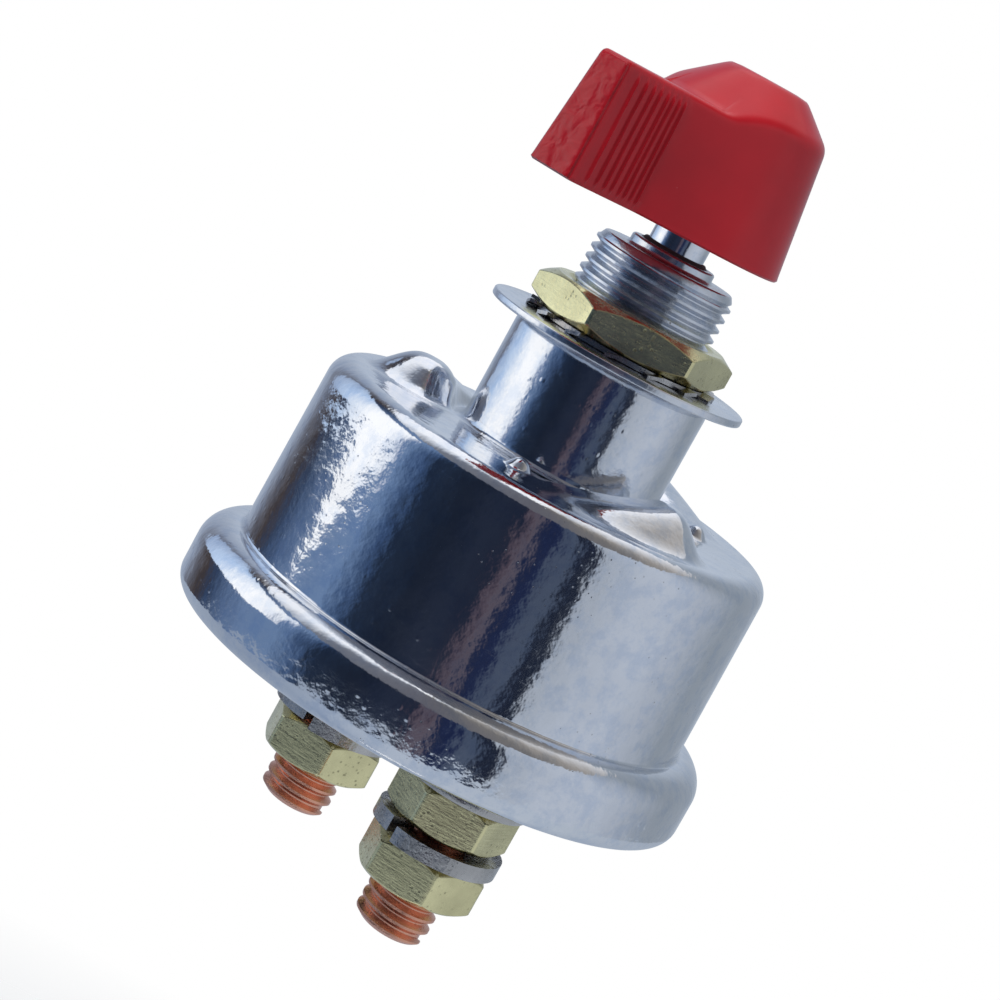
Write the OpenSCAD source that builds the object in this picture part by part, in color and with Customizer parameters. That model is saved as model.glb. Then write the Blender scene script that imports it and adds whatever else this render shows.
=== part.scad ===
// Battery disconnect switch, turned by a red pointer knob, for panel mounting.
// Millimetres. +Z runs up along the shaft to the knob.
// The origin is on the shaft axis, on the shoulder of the neck where the panel hardware sits.

/* [Housing] */
// Outer radius of the body wall just below the top edge
body_top_r = 30.6; // [26:0.1:36]
// Outer radius of the body wall at its foot
body_foot_r = 30.9; // [26:0.1:36]
// Height of the body from its flat top to the ledge of the rim
body_h = 24.8; // [18:0.1:32]
// Thickness of the drawn steel sheet
sheet_t = 1.2; // [0.8:0.1:1.6]
// Rounding of the body's top edge
top_edge_r = 3; // [2:0.1:5]
// How far the rolled rim stands out from the foot of the wall
rim_step = 4.4; // [3.8:0.1:6]
// Height of the rolled rim
rim_h = 10; // [8:0.1:14]
// Outer radius of the neck
neck_r = 13.3; // [11.9:0.1:15]
// Height of the neck over the body top
neck_h = 15.1; // [10:0.1:22]
// Distance of the three cam pockets from the axis
pocket_dist = 19.8; // [19:0.1:21]
// Radius of a cam pocket at its high end
pocket_r = 6.4; // [5.6:0.1:6.8]
// Rise of a cam pocket over the body top
pocket_rise = 4.3; // [3:0.1:5]
// Height of the stop nubs over the body top
nub_h = 1.5; // [0.8:0.1:2]

/* [Threaded stem and panel hardware] */
// Nominal diameter of the stem thread
stem_d = 19.05; // [18:0.05:20]
// Height of the stem over the neck shoulder
stem_h = 13.6; // [11:0.1:20]
// Radius of the collar on top of the stem
collar_r = 5.7; // [5.4:0.1:7]
// Radius of the flat washer
washer_r = 17.4; // [15:0.1:20]
// Thickness of the flat washer
washer_t = 1; // [0.8:0.1:2]
// Thickness of the tooth lock washer
tooth_t = 0.9; // [0.6:0.1:1.4]
// Distance across the flats of the panel nut
panel_nut_af = 23.8; // [22.5:0.1:27]
// Height of the panel nut
panel_nut_h = 4.6; // [4:0.1:6]

/* [Knob and shaft] */
// Radius of the knob's body at its lower edge
knob_r = 12.65; // [11.5:0.05:15]
// Radius of the knob's body where the top chamfer starts
knob_neck_r = 10.1; // [9.5:0.1:12]
// Radius of the flat on top of the knob
knob_flat_r = 5.2; // [4:0.1:7]
// Height of the knob
knob_h = 21; // [19.5:0.1:26]
// Height of the chamfer on top of the knob
knob_chamfer_h = 4.1; // [3:0.1:6]
// Distance from the axis to the tip of the pointer wing
wing_reach = 28.5; // [24:0.1:36]
// Height of the pointer wing
wing_h = 15.2; // [12:0.1:17]
// Width of the wing at its tip, at the lower edge
wing_tip_w = 7.2; // [6:0.1:9]
// Number of grip ribs on each side of the wing
rib_count = 8; // [6:1:10]
// Clear height between the stem's collar and the knob
knob_gap = 2.8; // [2:0.1:6]
// Diameter of the shaft
shaft_d = 7.5; // [7:0.1:8.5]
// Distance across the flats of the shaft's square lower part
square_w = 8; // [7.5:0.1:9]

/* [Terminals] */
// Diameter of the copper studs
stud_d = 9.525; // [8:0.005:10]
// Distance of the studs from the axis
stud_dist = 16.7; // [16:0.1:18]
// Turn of the pair of studs about the axis
stud_turn = -56.3; // [-90:0.1:90]
// Length of a stud below the rim
stud_l = 23.3; // [21:0.1:34]
// Distance across the flats of the stud nuts
stud_nut_af = 14.3; // [13.5:0.1:15]
// Height of a stud nut
stud_nut_h = 5.5; // [4.5:0.1:6]

/* [Hidden] */
$fn = 96;
// fits
hole_gap = 0.05;
slide_gap = 0.15;
seat_gap = 0.02;
base_play = 0.2;
rest_gap = 0.3;
// radii of the rim
foot_fillet = 0.5;
rim_r = body_foot_r + rim_step;
shoulder_r = rim_step - foot_fillet - 0.1;
shoulder_in_r = shoulder_r - sheet_t;
// heights in the housing
top_z = -neck_h;
in_top_z = top_z - sheet_t;
ledge_z = top_z - body_h;
rim_z = ledge_z - rim_h;
neck_edge_r = 1.4;
neck_fillet = 1.2;
roll_r = 2.2;
curl_r = rim_r - rim_step;
wall_in_r = body_foot_r - sheet_t;
// cam pockets and nubs
pocket_at = [-45, 65, 177];
ramp_turn = 48;
tail_r = 4.6;
nub_r = 1.3;
nub_dist = 19.5;
nub_at = [pocket_at[0] - ramp_turn - 8, pocket_at[1] - ramp_turn - 8];
lift = pocket_rise - rest_gap;
// stem
stem_r = stem_d / 2;
stem_hole_r = stem_r + hole_gap;
stem_flange_r = neck_r - sheet_t - 0.1;
stem_flange_h = 3.2;
stem_chamfer = 0.75;
collar_h = 1.3;
shaft_r = shaft_d / 2;
stud_r = stud_d / 2;
bore_r = shaft_r + hole_gap;
seal_r = collar_r - 1.1;
seal_h = 1.6;
// panel hardware
tooth_z = washer_t;
panel_nut_z = tooth_z + tooth_t;
panel_nut_turn = 8;
// knob
knob_z = stem_h + collar_h + knob_gap;
wing_turn = 232;
wing_root = 17;
wing_root_w = 9.4;
wing_draft = 1;
wing_lip = 0.1;
knob_bore_h = 14;
screw_r = 2;
screw_z = knob_z + 6;
shaft_flat = 0.8;
// contact stack
gasket_h = 1;
gasket_r = body_foot_r + 0.4;
gasket_in_r = wall_in_r - 0.9;
gasket_z = ledge_z - sheet_t - seat_gap - gasket_h;
base_z = rim_z + sheet_t + seat_gap;
base_edge_z = gasket_z - seat_gap;
base_top_z = base_edge_z + 1.1;
base_r = rim_r - sheet_t - base_play;
boss_h = 3.4;
boss_r = stud_r + 2.8;
head_r = 6.4;
head_h = 5;
head_z = base_top_z;
key_w = 9.5;
key_h = 2;
contact_t = 2;
contact_r = 22.4;
contact_hole_r = 9;
contact_z = head_z + head_h + 0.05 + lift;
carrier_z = contact_z + contact_t;
carrier_h = 5;
hub_r = 10;
hub_h = 8;
post_r = 3.4;
post_top_z = in_top_z + pocket_rise - rest_gap;
shoulder_z = -sheet_t - stem_flange_h - hole_gap;
shaft_shoulder_r = 6.6;
shaft_shoulder_h = 2.4;
pilot_r = 2.9;
pilot_h = 3;
spring_r = 7.2;
spring_wire = 1.2;
spring_turns = 4;
seat_h = 0.8;
rivet_r = 1.6;
rivet_head_r = 2.4;
rivet_head_h = 1.2;
rivet_dist = hub_r + rivet_head_r + rest_gap;
seat_r = spring_r + spring_wire / 2 + 1.2;
// terminals
thread_pitch = 1.5875;
meet_r = stud_r - 0.325 * thread_pitch;
boss_z = base_z - boss_h;
pad_r = 8.6;
pad_t = 1.3;
inner_nut_z = boss_z - pad_t - stud_nut_h;
split_t = 2.1;
split_rise = 0.75;
split_out_r = 8.5;
split_in_r = 5.1;
split_z = inner_nut_z - split_t - split_rise - 2 * seat_gap;
outer_nut_z = split_z - seat_gap - stud_nut_h;
stud_end_z = rim_z - stud_l;
free_top_z = outer_nut_z - rest_gap;
nut_top_z = boss_z - pad_t - seat_gap;

// Which piece to draw

// points of an arc, in the plane of a turned profile
function arc(x, z, r, a0, a1, n) =
    [for (i = [0:n]) [x + r * cos(a0 + (a1 - a0) * i / n), z + r * sin(a0 + (a1 - a0) * i / n)]];

// The drawn housing.

// Section of the drawn shell: neck, flat top, wall, shoulder and the rim rolled under the base.
module shell_section() {
    t = sheet_t;
    polygon(concat(
        [[stem_hole_r, 0]],
        arc(neck_r - neck_edge_r, -neck_edge_r, neck_edge_r, 90, 0, 5),
        arc(neck_r + neck_fillet, top_z + neck_fillet, neck_fillet, 180, 270, 5),
        arc(body_top_r - top_edge_r, top_z - top_edge_r, top_edge_r, 90, 0, 8),
        arc(body_foot_r + foot_fillet, ledge_z + foot_fillet, foot_fillet, 180, 270, 4),
        arc(rim_r - shoulder_r, ledge_z - shoulder_r, shoulder_r, 90, 0, 8),
        arc(rim_r - roll_r, rim_z + roll_r, roll_r, 0, -90, 6),
        [[curl_r, rim_z], [curl_r, rim_z + t]],
        arc(rim_r - roll_r, rim_z + roll_r, roll_r - t, -90, 0, 6),
        arc(rim_r - shoulder_r, ledge_z - shoulder_r, shoulder_r - t, 0, 90, 8),
        arc(body_foot_r + foot_fillet, ledge_z + foot_fillet, foot_fillet + t, 270, 180, 4),
        arc(body_top_r - top_edge_r, top_z - top_edge_r, top_edge_r - t, 0, 90, 8),
        arc(neck_r + neck_fillet, top_z + neck_fillet, neck_fillet + t, 270, 180, 5),
        arc(neck_r - neck_edge_r, -neck_edge_r, neck_edge_r - t, 0, 90, 3),
        [[stem_hole_r, -t]]));
}

// One cam pocket: a dome that runs down along a ramp, clockwise seen from above.
module pocket(skin) {
    hull() {
        translate([pocket_dist, 0, top_z + pocket_rise - pocket_r])
            sphere(r = pocket_r - skin, $fn = 32);
        rotate([0, 0, -ramp_turn / 2])
            translate([pocket_dist + 0.6, 0, top_z + pocket_rise / 2 - tail_r - 0.2])
                sphere(r = tail_r + 0.6 - skin, $fn = 32);
        rotate([0, 0, -ramp_turn])
            translate([pocket_dist, 0, top_z - tail_r + 0.3])
                sphere(r = tail_r - skin, $fn = 32);
    }
}

module housing() {
    color([0.72, 0.74, 0.78])
    difference() {
        union() {
            rotate_extrude() shell_section();
            intersection() {
                for (a = pocket_at) rotate([0, 0, a]) pocket(0);
                translate([0, 0, in_top_z + 0.2]) cylinder(r = body_top_r - 1, h = pocket_rise + sheet_t + 1);
            }
            for (a = nub_at) rotate([0, 0, a])
                translate([nub_dist, 0, top_z - 0.4]) {
                    cylinder(r = nub_r, h = nub_h - nub_r / 2 + 0.4);
                    translate([0, 0, nub_h - nub_r / 2 + 0.4]) sphere(r = nub_r, $fn = 32);
                }
        }
        for (a = pocket_at) rotate([0, 0, a]) pocket(sheet_t);
    }
}

// Stem and panel hardware.

module threaded_stem() {
    color([0.74, 0.76, 0.80])
    rotate_extrude()
    polygon([
        [bore_r, -sheet_t - stem_flange_h], [stem_flange_r, -sheet_t - stem_flange_h],
        [stem_flange_r, -sheet_t - seat_gap], [stem_r, -sheet_t - seat_gap],
        [stem_r, stem_h - 2], [stem_r - stem_chamfer, stem_h],
        [collar_r + 0.5, stem_h], [collar_r, stem_h + 0.45], [collar_r - 0.15, stem_h + collar_h - 0.2],
        [collar_r - 0.4, stem_h + collar_h], [seal_r + seat_gap, stem_h + collar_h],
        [seal_r + seat_gap, stem_h + collar_h - seal_h], [bore_r, stem_h + collar_h - seal_h]]);
}

// Hexagon nut with both ends chamfered; the hex is cut by a cone above and below.
module hex_nut(af, h, bore, turn) {
    corner = af / sqrt(3);
    cut = corner - af / 2 * 0.97;
    difference() {
        intersection() {
            rotate([0, 0, turn]) cylinder(r = corner, h = h, $fn = 6);
            rotate_extrude()
            polygon([[0, 0], [corner - cut, 0], [corner + 0.1, (cut + 0.1) * 0.58],
                     [corner + 0.1, h - (cut + 0.1) * 0.58], [corner - cut, h], [0, h]]);
        }
        translate([0, 0, -1]) cylinder(r = bore, h = h + 2);
        translate([0, 0, -0.01]) cylinder(r1 = bore + 0.6, r2 = bore, h = 0.6);
        translate([0, 0, h - 0.59]) cylinder(r1 = bore, r2 = bore + 0.6, h = 0.6);
    }
}

module panel_nut() {
    color([0.85, 0.80, 0.52])
    translate([0, 0, panel_nut_z]) hex_nut(panel_nut_af, panel_nut_h, stem_r + hole_gap, panel_nut_turn);
}

// Lock washer with twisted outer teeth.
module tooth_lock_washer() {
    band_r = stem_r + 2.1;
    band_t = tooth_t - 0.25;
    color([0.68, 0.69, 0.70])
    translate([0, 0, tooth_z + seat_gap])
    difference() {
        union() {
            translate([0, 0, 0.1]) cylinder(r = band_r, h = band_t);
            for (i = [0:13]) rotate([0, 0, 11 + i * 360 / 14])
                translate([band_r - 0.5, 0, tooth_t / 2 - 0.01]) rotate([14, 0, 0])
                    translate([0, -1.1, -0.25]) cube([2, 2.2, 0.45]);
        }
        translate([0, 0, -1]) cylinder(r = stem_hole_r + 0.1, h = 4);
        translate([0, 0, tooth_t - 2 * seat_gap]) cylinder(r = band_r + 4, h = 2);
        translate([0, 0, -2]) cylinder(r = band_r + 4, h = 2);
    }
}

module flat_washer() {
    e = 0.25;
    color([0.72, 0.74, 0.78])
    rotate_extrude()
    polygon([[stem_hole_r + 0.1, seat_gap], [washer_r - e, seat_gap], [washer_r, e + seat_gap],
             [washer_r, washer_t - e], [washer_r - e, washer_t], [stem_hole_r + 0.1, washer_t]]);
}

// Knob and shaft.

// Six-sided block with draft: half widths at two stations, at its lower and its upper face.
module drafted_block(x0, x1, low0, low1, top0, top1, shift0, shift1, z0, z1) {
    pts = [[x0, -low0, z0], [x1, -low1, z0], [x1, low1, z0], [x0, low0, z0],
           [x0 - shift0, -top0, z1], [x1 - shift1, -top1, z1], [x1 - shift1, top1, z1], [x0 - shift0, top0, z1]];
    polyhedron(points = pts, faces = [[0, 1, 2, 3], [7, 6, 5, 4], [4, 5, 1, 0], [5, 6, 2, 1], [6, 7, 3, 2], [7, 4, 0, 3]]);
}

// Upright ribs on both sides of the grip, half sunk in them.
module grip_ribs() {
    low_half = wing_root_w / 2 + 0.2;
    top_half = wing_root_w / 2 - 1;
    toe = atan2(low_half - wing_tip_w / 2, wing_reach - wing_root);
    lean = atan2(low_half - top_half, wing_h);
    pitch = (wing_reach - wing_root - 1.2) / rib_count;
    for (side = [-1, 1], i = [0:rib_count - 1])
        translate([wing_root, side * low_half, 0]) rotate([side * lean, 0, -side * toe])
            translate([0.5 + pitch * (i + 0.22), -0.5, 0.35]) rotate([0, -2, 0])
                cube([pitch * 0.56, 1, wing_h - 0.9]);
}

// Pointer wing with draft on every side.
module wing() {
    low_half = wing_root_w / 2 + 0.2;
    top_half = wing_root_w / 2 - 1;
    slope = (low_half - wing_tip_w / 2) / (wing_reach - wing_root);
    grip_x = wing_root - 3;
    drafted_block(2, wing_root, knob_r - 0.6, low_half, knob_neck_r - 0.2, top_half, 0.5, 0.6, wing_lip, wing_h);
    drafted_block(grip_x, wing_reach, low_half + 3 * slope, wing_tip_w / 2, top_half + 3 * slope,
                  wing_tip_w / 2 - wing_draft, 0.6, 1.1, 2 * wing_lip, wing_h - wing_lip / 2);
}

module knob() {
    color([0.72, 0.05, 0.08])
    translate([0, 0, knob_z])
    difference() {
        union() {
            rotate_extrude()
            polygon([[0, 0], [knob_r, 0], [knob_neck_r, knob_h - knob_chamfer_h],
                     [knob_flat_r, knob_h], [0, knob_h]]);
            rotate([0, 0, wing_turn]) {
                wing();
                grip_ribs();
            }
        }
        difference() {
            translate([0, 0, -1]) cylinder(r = bore_r, h = knob_bore_h + 1);
            rotate([0, 0, wing_turn + 180]) translate([shaft_r - shaft_flat + hole_gap, -5, -2])
                cube([5, 10, knob_bore_h + 4]);
        }
        rotate([0, 0, wing_turn + 180]) translate([shaft_r - shaft_flat, 0, screw_z - knob_z])
            rotate([0, 90, 0]) cylinder(r = screw_r + hole_gap, h = knob_r + 2);
    }
}

module knob_set_screw() {
    color([0.30, 0.30, 0.32])
    translate([0, 0, screw_z]) rotate([0, 0, wing_turn + 180])
    translate([shaft_r - shaft_flat + seat_gap, 0, 0]) rotate([0, 90, 0])
    difference() {
        cylinder(r = screw_r, h = 7);
        translate([0, 0, 4.8]) cylinder(r = 1.15, h = 3, $fn = 6);
    }
}

// Shaft: round and flatted for the knob, a shoulder under the stem, a square that drives the carrier.
module shaft() {
    foot_z = base_top_z + 0.8 + hole_gap;
    color([0.78, 0.80, 0.84])
    difference() {
        union() {
            translate([0, 0, shoulder_z - 0.01])
                cylinder(r = shaft_r, h = knob_z + knob_bore_h - rest_gap - shoulder_z);
            translate([0, 0, shoulder_z - shaft_shoulder_h]) cylinder(r = shaft_shoulder_r, h = shaft_shoulder_h);
            translate([-square_w / 2, -square_w / 2, foot_z])
                cube([square_w, square_w, shoulder_z - shaft_shoulder_h - foot_z + 0.01]);
            translate([0, 0, base_top_z - pilot_h]) cylinder(r = pilot_r, h = pilot_h + 1);
        }
        rotate([0, 0, wing_turn + 180]) translate([shaft_r - shaft_flat, -5, knob_z - 0.5])
            cube([5, 10, knob_bore_h + 4]);
    }
}

module shaft_seal() {
    color([0.10, 0.10, 0.11])
    translate([0, 0, stem_h + collar_h - seal_h + seat_gap])
    rotate_extrude()
    polygon([[bore_r, 0], [seal_r, 0], [seal_r, seal_h - 0.2], [seal_r - 0.15, seal_h],
             [bore_r + 0.35, seal_h + 0.35], [bore_r, seal_h + 0.35]]);
}

// Inside the housing.

module at_studs() {
    for (s = [0, 180]) rotate([0, 0, stud_turn + s]) translate([stud_dist, 0, 0]) children();
}

module base_disc() {
    color([0.09, 0.08, 0.08])
    difference() {
        union() {
            rotate_extrude()
            polygon([[0, base_z], [base_r - 1.2, base_z], [base_r, base_z + 1.4],
                     [base_r, base_edge_z - shoulder_in_r], [base_r - shoulder_in_r, base_edge_z],
                     [gasket_in_r - rest_gap, base_edge_z], [gasket_in_r - rest_gap, base_top_z], [0, base_top_z]]);
            at_studs() translate([0, 0, boss_z]) cylinder(r = boss_r, h = boss_h + 1);
        }
        at_studs() {
            translate([0, 0, boss_z - 1]) cylinder(r = stud_r + 0.1, h = base_top_z - boss_z + 2);
            translate([-key_w / 2 - 0.1, -key_w / 2 - 0.1, base_top_z - key_h - 0.1])
                cube([key_w + 0.2, key_w + 0.2, key_h + 1]);
        }
        translate([0, 0, base_top_z - pilot_h - 0.1]) cylinder(r = pilot_r + hole_gap, h = pilot_h + 1);
    }
}

module base_gasket() {
    color([0.20, 0.17, 0.14])
    translate([0, 0, gasket_z])
    difference() {
        cylinder(r = gasket_r, h = gasket_h);
        translate([0, 0, -1]) cylinder(r = gasket_in_r, h = gasket_h + 2);
    }
}

// Moulded carrier: three posts ride in the cam pockets, the hub slides on the square.
module contact_carrier() {
    color([0.42, 0.22, 0.12])
    difference() {
        union() {
            translate([0, 0, carrier_z]) cylinder(r = hub_r, h = hub_h);
            for (a = pocket_at) rotate([0, 0, a]) {
                translate([0, -post_r, carrier_z]) cube([pocket_dist, 2 * post_r, carrier_h]);
                translate([pocket_dist, 0, carrier_z])
                    cylinder(r = post_r, h = post_top_z - post_r - carrier_z);
                translate([pocket_dist, 0, post_top_z - post_r]) sphere(r = post_r, $fn = 48);
            }
        }
        translate([-square_w / 2 - slide_gap, -square_w / 2 - slide_gap, carrier_z - 1])
            cube([square_w + 2 * slide_gap, square_w + 2 * slide_gap, hub_h + 2]);
        for (a = pocket_at) rotate([0, 0, a]) translate([rivet_dist, 0, carrier_z - 1])
            cylinder(r = rivet_r + hole_gap, h = carrier_h + 2);
    }
}

module contact_disc() {
    color([0.78, 0.42, 0.26])
    translate([0, 0, contact_z])
    difference() {
        cylinder(r = contact_r, h = contact_t - seat_gap);
        translate([0, 0, -1]) cylinder(r = contact_hole_r, h = contact_t + 2);
        for (a = pocket_at) rotate([0, 0, a]) translate([rivet_dist, 0, -1])
            cylinder(r = rivet_r + hole_gap, h = contact_t + 2);
    }
}

// Three rivets that hold the contact disc under the carrier, heads on top.
module contact_rivets() {
    color([0.80, 0.66, 0.34])
    for (a = pocket_at) rotate([0, 0, a]) translate([rivet_dist, 0, 0]) {
        translate([0, 0, contact_z + 0.2]) cylinder(r = rivet_r, h = contact_t + carrier_h + 0.2);
        translate([0, 0, carrier_z + carrier_h + seat_gap])
            cylinder(r1 = rivet_head_r, r2 = rivet_head_r - 0.8, h = rivet_head_h);
    }
}

function spring_ring(i, n, z0, h) =
    let (a = 360 * spring_turns * i / n,
         s = max(0, min(1, (i / n * spring_turns - 0.6) / (spring_turns - 1.2))),
         z = z0 + spring_wire / 2 + s * (h - spring_wire))
    [for (k = [0:7]) [(spring_r + spring_wire / 2 * cos(k * 45)) * cos(a),
                      (spring_r + spring_wire / 2 * cos(k * 45)) * sin(a),
                      z + spring_wire / 2 * sin(k * 45)]];

// Compression spring that presses the carrier up into the pockets.
module contact_spring() {
    n = 128;
    z0 = base_top_z + seat_h + seat_gap;
    h = carrier_z - seat_gap - z0;
    pts = [for (i = [0:n]) each spring_ring(i, n, z0, h)];
    color([0.62, 0.63, 0.66])
    polyhedron(points = pts,
        faces = concat([[for (k = [0:7]) k]], [[for (k = [0:7]) n * 8 + 7 - k]],
            [for (i = [0:n - 1], k = [0:7]) [i * 8 + k, i * 8 + 8 + k, i * 8 + (k + 1) % 8]],
            [for (i = [0:n - 1], k = [0:7]) [i * 8 + (k + 1) % 8, i * 8 + 8 + k, i * 8 + 8 + (k + 1) % 8]]));
}

module spring_seat() {
    color([0.66, 0.67, 0.70])
    translate([0, 0, base_top_z + seat_gap])
    difference() {
        cylinder(r = seat_r, h = seat_h - seat_gap);
        translate([0, 0, -1]) cylinder(r = pilot_r + slide_gap, h = seat_h + 2);
    }
}

// Terminals.

// Copper stud; where the nuts hold it, it is drawn at the line where the two threads meet.
module stud() {
    color([0.80, 0.46, 0.30])
    union() {
        translate([0, 0, head_z]) cylinder(r = head_r, h = head_h);
        translate([-key_w / 2, -key_w / 2, head_z - key_h]) cube([key_w, key_w, key_h + 0.1]);
        translate([0, 0, nut_top_z]) cylinder(r = stud_r, h = head_z - nut_top_z + 0.1);
        translate([0, 0, free_top_z - 0.1]) cylinder(r = meet_r, h = nut_top_z - free_top_z + 0.2);
        translate([0, 0, stud_end_z + 0.8]) cylinder(r = stud_r, h = free_top_z - stud_end_z - 0.8);
        translate([0, 0, stud_end_z]) cylinder(r1 = stud_r - 0.8, r2 = stud_r, h = 0.81);
    }
}

module at_front() { rotate([0, 0, stud_turn]) translate([stud_dist, 0, 0]) children(); }
module at_rear() { rotate([0, 0, stud_turn + 180]) translate([stud_dist, 0, 0]) children(); }

module stud_front() { at_front() stud(); }
module stud_rear() { at_rear() stud(); }

module pad_washer() {
    color([0.70, 0.71, 0.74])
    translate([0, 0, boss_z - pad_t])
    difference() {
        cylinder(r = pad_r, h = pad_t - seat_gap);
        translate([0, 0, -1]) cylinder(r = stud_r + 0.2, h = 4);
    }
}
module pad_washer_front() { at_front() pad_washer(); }
module pad_washer_rear() { at_rear() pad_washer(); }

module stud_nut(z, turn) {
    color([0.85, 0.80, 0.52])
    translate([0, 0, z]) hex_nut(stud_nut_af, stud_nut_h - seat_gap, meet_r + hole_gap, turn);
}
module inner_nut_front() { at_front() stud_nut(inner_nut_z, 2 - stud_turn); }
module inner_nut_rear() { at_rear() stud_nut(inner_nut_z, 24 - stud_turn); }
module outer_nut_front() { at_front() stud_nut(outer_nut_z, -15 - stud_turn); }
module outer_nut_rear() { at_rear() stud_nut(outer_nut_z, -18 - stud_turn); }

function split_ring(i, n, gap) =
    let (a = gap + (360 - 2 * gap) * i / n, z = split_rise * i / n)
    [[split_in_r * cos(a), split_in_r * sin(a), z], [split_out_r * cos(a), split_out_r * sin(a), z],
     [split_out_r * cos(a), split_out_r * sin(a), z + split_t], [split_in_r * cos(a), split_in_r * sin(a), z + split_t]];

// Helical spring washer, cut through, with one end standing higher than the other.
module split_washer(turn) {
    n = 60;
    pts = [for (i = [0:n]) each split_ring(i, n, 4)];
    color([0.66, 0.65, 0.62])
    translate([0, 0, split_z]) rotate([0, 0, turn])
    polyhedron(points = pts,
        faces = concat([[0, 1, 2, 3]], [[n * 4 + 3, n * 4 + 2, n * 4 + 1, n * 4]],
            [for (i = [0:n - 1], k = [0:3]) [i * 4 + k, i * 4 + 4 + k, i * 4 + (k + 1) % 4]],
            [for (i = [0:n - 1], k = [0:3]) [i * 4 + (k + 1) % 4, i * 4 + 4 + k, i * 4 + 4 + (k + 1) % 4]]));
}
module split_washer_front() { at_front() split_washer(-130 - stud_turn); }
module split_washer_rear() { at_rear() split_washer(70 - stud_turn); }

housing();
threaded_stem();
panel_nut();
tooth_lock_washer();
flat_washer();
knob();
knob_set_screw();
shaft();
shaft_seal();
base_disc();
base_gasket();
contact_carrier();
contact_disc();
contact_rivets();
contact_spring();
spring_seat();
stud_front();
stud_rear();
pad_washer_front();
pad_washer_rear();
inner_nut_front();
inner_nut_rear();
split_washer_front();
split_washer_rear();
outer_nut_front();
outer_nut_rear();
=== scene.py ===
import math

import bmesh
import bpy
import numpy as np
from bpy.props import FloatProperty, FloatVectorProperty, IntProperty, PointerProperty
from mathutils import Matrix, Vector


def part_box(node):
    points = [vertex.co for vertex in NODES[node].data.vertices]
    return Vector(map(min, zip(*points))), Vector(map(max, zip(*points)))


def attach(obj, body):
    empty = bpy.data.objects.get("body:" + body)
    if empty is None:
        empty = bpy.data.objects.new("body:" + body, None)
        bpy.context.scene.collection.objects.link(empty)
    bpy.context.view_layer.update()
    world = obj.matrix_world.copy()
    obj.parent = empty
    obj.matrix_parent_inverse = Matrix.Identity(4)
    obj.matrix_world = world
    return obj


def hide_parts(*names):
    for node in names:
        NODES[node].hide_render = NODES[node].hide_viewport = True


bl_info = {
    "name": "Battery disconnect switch looks",
    "version": (1, 0, 0),
    "blender": (4, 5, 0),
    "location": "View3D > Sidebar > Switch",
    "description": "Dresses the packed battery disconnect switch and sets its stage",
    "category": "Object",
}

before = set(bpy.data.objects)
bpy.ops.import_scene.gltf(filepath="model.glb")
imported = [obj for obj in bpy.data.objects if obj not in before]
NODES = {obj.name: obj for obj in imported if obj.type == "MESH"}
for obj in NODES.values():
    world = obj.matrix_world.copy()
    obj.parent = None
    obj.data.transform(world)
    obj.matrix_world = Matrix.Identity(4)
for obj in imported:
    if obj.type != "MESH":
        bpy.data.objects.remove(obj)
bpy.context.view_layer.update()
MM = 0.001

# Sizes in millimetres, as in the construction source; the stem's drawn pitch is read from the photograph.
BODY_TOP_R, BODY_FOOT_R, TOP_Z, LEDGE_Z = 30.6, 30.9, -15.1, -39.9
SHEET, RIM_R, RIM_Z = 1.2, 35.3, -49.9
NECK_R, STEM_R, STEM_H, COLLAR_R, COLLAR_H = 13.3, 9.525, 13.6, 5.7, 1.3
PITCH, STEM_PITCH = 1.5875, 1.4111
POCKET_AT, POCKET_DIST, POCKET_RISE, RAMP_TURN = (-45, 65, 177), 19.8, 4.3, 48
NUB_AT = (-101, 9)
STUD_R, STUD_DIST, STUD_TURN, STUD_END, HEAD_TOP = 4.7625, 16.7, -56.3, -73.2, -36.0
PAD_R = 8.35
KNOB_R, KNOB_NECK_R, KNOB_FLAT_R, KNOB_H, KNOB_CHAMFER = 12.65, 10.1, 5.2, 21.0, 4.1
WING_H, WING_TURN, KNOB_Z, KNOB_BORE_R, KNOB_BORE_H = 15.2, 232, 17.7, 3.8, 14.0
SCREW_R, SCREW_Z = 2.05, 6
BODY = "switch_body"


def arc(x, z, r, a0, a1, n):
    """Points of an arc in the plane of a turned profile."""
    return [(x + r * math.cos(math.radians(a0 + (a1 - a0) * i / n)),
             z + r * math.sin(math.radians(a0 + (a1 - a0) * i / n))) for i in range(n + 1)]


def grid_object(name, points, wrap_rows, crease=32.0):
    """A closed skin over rows of points, each row one ring, in millimetres."""
    rows, cols = points.shape[:2]
    faces = []
    for i in range(rows if wrap_rows else rows - 1):
        k = (i + 1) % rows
        for j in range(cols):
            m = (j + 1) % cols
            faces.append((i * cols + j, i * cols + m, k * cols + m, k * cols + j))
    if not wrap_rows:
        faces += [tuple(range(cols)), tuple((rows - 1) * cols + j for j in reversed(range(cols)))]
    mesh = bpy.data.meshes.new(name)
    mesh.from_pydata((points.reshape(-1, 3) * MM).tolist(), [], faces)
    return finish_mesh(name, mesh, crease)


def finish_mesh(name, mesh, crease=32.0):
    """Merges doubles, turns faces outward and marks the sharp edges."""
    bm = bmesh.new()
    bm.from_mesh(mesh)
    bmesh.ops.remove_doubles(bm, verts=bm.verts, dist=1e-6)
    bmesh.ops.dissolve_degenerate(bm, edges=bm.edges, dist=1e-7)
    bmesh.ops.recalc_face_normals(bm, faces=bm.faces)
    for face in bm.faces:
        face.smooth = True
    for edge in bm.edges:
        edge.smooth = edge.calc_face_angle(0.0) < math.radians(crease)
    bm.to_mesh(mesh)
    bm.free()
    piece = bpy.data.objects.new(name, mesh)
    bpy.context.scene.collection.objects.link(piece)
    return piece


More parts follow.
